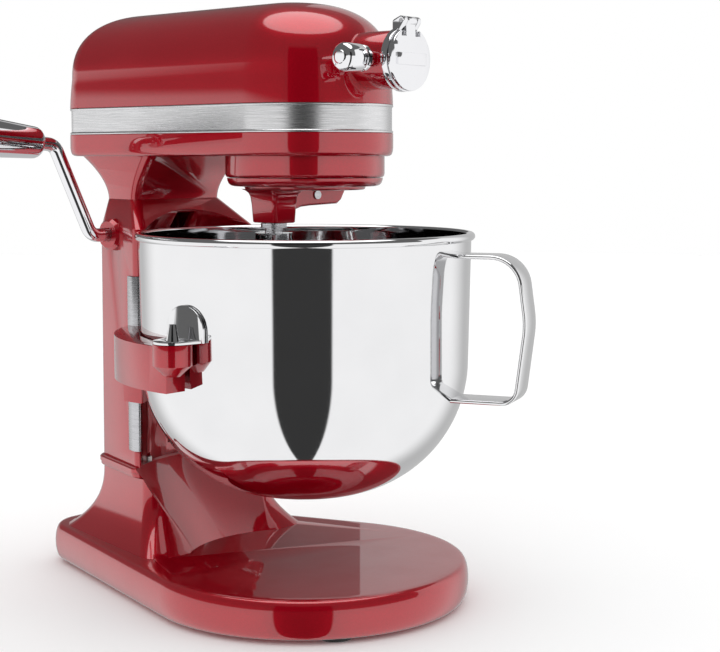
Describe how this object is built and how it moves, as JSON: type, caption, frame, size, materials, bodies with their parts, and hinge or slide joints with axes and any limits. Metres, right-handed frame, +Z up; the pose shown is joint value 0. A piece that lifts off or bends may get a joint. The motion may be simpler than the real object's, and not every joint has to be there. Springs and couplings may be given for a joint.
{
  "type": "stand mixer",
  "caption": "Bowl-lift stand mixer: red cast base, column and head, planetary drive with spiral dough hook, polished steel bowl in a lift cradle, side lever, front attachment hub.",
  "frame": {"origin": "on the counter, straight below the axis of the bowl and of the planetary drive, at the height of the feet", "axes": "+Z up, +X forward to the attachment hub, +Y to the mixer's left, so the lift lever is on the -Y side"},
  "size_m": [0.3902, 0.3441, 0.4215],
  "materials": {
    "red_paint": "candy red enamel, high gloss, with a fine metallic base",
    "brushed_band": "brushed along its length, polished edges",
    "polished_steel": "mirror-polished stainless steel",
    "chrome": "bright chrome plate",
    "bright_steel": "machined bright steel",
    "spring_steel": "hardened spring steel, satin",
    "screw_steel": "zinc plated steel",
    "gear_steel": "hardened gear steel with a film of grease",
    "core_steel": "stacked core sheets, satin",
    "cast_aluminium": "die-cast, matt",
    "bronze": "sintered bronze",
    "black_rubber": "moulded rubber, matt",
    "black_plastic": "moulded plastic, fine texture",
    "board_green": "glass-fibre circuit board"
  },
  "bodies": {
    "stand": {"base_casting": "red_paint", "rubber_feet": "black_rubber", "column_casting": "red_paint", "column_screws": "screw_steel", "guide_strips": "bright_steel", "lever_bush": "bronze", "gear_case": "red_paint", "motor_housing": "red_paint", "trim_band": "brushed_band", "drip_ring": "red_paint", "cord_grommet": "black_rubber", "hub_ring": "chrome", "hub_bearing": "bronze", "hub_hinge_pin": "bright_steel", "main_shaft_bush": "bronze", "ring_gear": "gear_steel", "ring_gear_screws": "screw_steel", "gear_bracket": "cast_aluminium", "layshaft_bearings": "bright_steel", "motor_stator": "core_steel", "motor_front_plate": "cast_aluminium", "motor_rear_plate": "cast_aluminium", "motor_bearings": "bright_steel", "control_board": "board_green", "speed_plate": "spring_steel"},
    "hub_drive": {"hub_spindle": "bright_steel", "hub_gear": "gear_steel"},
    "cover": {"hub_cover": "chrome"},
    "knob": {"attachment_knob": "chrome"},
    "speed_lever": {"speed_slider": "spring_steel", "speed_knob": "chrome"},
    "planetary": {"planetary_housing": "red_paint", "roll_pin": "bright_steel", "main_shaft": "gear_steel", "centre_gear": "gear_steel", "agitator_bushes": "bronze"},
    "agitator": {"agitator_shaft": "bright_steel", "agitator_pinion": "gear_steel", "shaft_pin": "bright_steel"},
    "hook": {"dough_hook": "polished_steel"},
    "countershaft": {"layshaft": "gear_steel", "layshaft_gear": "gear_steel"},
    "rotor": {"rotor_shaft": "bright_steel", "rotor_core": "core_steel", "motor_pinion": "gear_steel", "cooling_fan": "black_plastic"},
    "lever": {"lever_shaft": "bright_steel", "lever_arm": "chrome", "lever_grip": "chrome", "crank_arm": "spring_steel"},
    "rod": {"lift_rod": "bright_steel", "lift_spring": "spring_steel"},
    "carriage": {"bowl_support": "red_paint", "locating_pins": "polished_steel", "bowl_latch_spring": "spring_steel"},
    "bowl_unit": {"bowl": "polished_steel", "bowl_handle": "polished_steel", "bowl_bracket_left": "polished_steel", "bowl_bracket_right": "polished_steel", "bowl_latch_stud": "polished_steel"}
  },
  "joints": [
    {"name": "planetary_spin", "type": "hinge", "parent": "stand", "child": "planetary", "pos_m": [0, 0, 0.29], "axis": [0, 0, 1], "continuous": true},
    {"name": "agitator_spin", "type": "hinge", "parent": "planetary", "child": "agitator", "pos_m": [-0.00372, -0.02826, 0.26], "axis": [0, 0, 1], "continuous": true},
    {"name": "hook_twist", "type": "hinge", "parent": "agitator", "child": "hook", "pos_m": [-0.00372, -0.02826, 0.254], "axis": [0, 0, 1], "range_deg": [0, 55]},
    {"name": "countershaft_spin", "type": "hinge", "parent": "stand", "child": "countershaft", "pos_m": [-0.05, 0, 0.379], "axis": [1, 0, 0], "continuous": true},
    {"name": "hub_spin", "type": "hinge", "parent": "stand", "child": "hub_drive", "pos_m": [0.05, 0, 0.379], "axis": [1, 0, 0], "continuous": true},
    {"name": "motor_spin", "type": "hinge", "parent": "stand", "child": "rotor", "pos_m": [-0.13, 0.016, 0.35398], "axis": [1, 0, 0], "continuous": true},
    {"name": "lift_lever_turn", "type": "hinge", "parent": "stand", "child": "lever", "pos_m": [-0.148, 0, 0.257], "axis": [0, -1, 0], "range_deg": [0, 140]},
    {"name": "lift_rod_swing", "type": "hinge", "parent": "lever", "child": "rod", "pos_m": [-0.15347, 0, 0.27204], "axis": [0, -1, 0], "range_deg": [-140.5, 0.5]},
    {"name": "carriage_slide", "type": "slide", "parent": "stand", "child": "carriage", "axis": [0, 0, 1], "range_m": [-0.03027, 0]},
    {"name": "bowl_lift_off", "type": "slide", "parent": "carriage", "child": "bowl_unit", "axis": [0, 0, 1], "range_m": [0, 0.0125]},
    {"name": "hub_cover_flip", "type": "hinge", "parent": "stand", "child": "cover", "pos_m": [0.0929, 0, 0.404], "axis": [0, -1, 0], "range_deg": [0, 110]},
    {"name": "attachment_knob_turn", "type": "hinge", "parent": "stand", "child": "knob", "pos_m": [0.075, -0.03, 0.379], "axis": [0, -1, 0], "range_deg": [0, 720]},
    {"name": "speed_lever_slide", "type": "slide", "parent": "stand", "child": "speed_lever", "axis": [1, 0, 0], "range_m": [0, 0.045]}
  ],
  "couplings": [
    {"joint": "agitator_spin", "follows": "planetary_spin", "ratio": -3.7143},
    {"joint": "countershaft_spin", "follows": "planetary_spin", "ratio": -3},
    {"joint": "hub_spin", "follows": "planetary_spin", "ratio": 3},
    {"joint": "motor_spin", "follows": "planetary_spin", "ratio": 13.5},
    {"joint": "lift_rod_swing", "follows": "lift_lever_turn", "ratio": -1},
    {"joint": "carriage_slide", "follows": "lift_lever_turn", "m_per_rad": -0.012306}
  ]
}
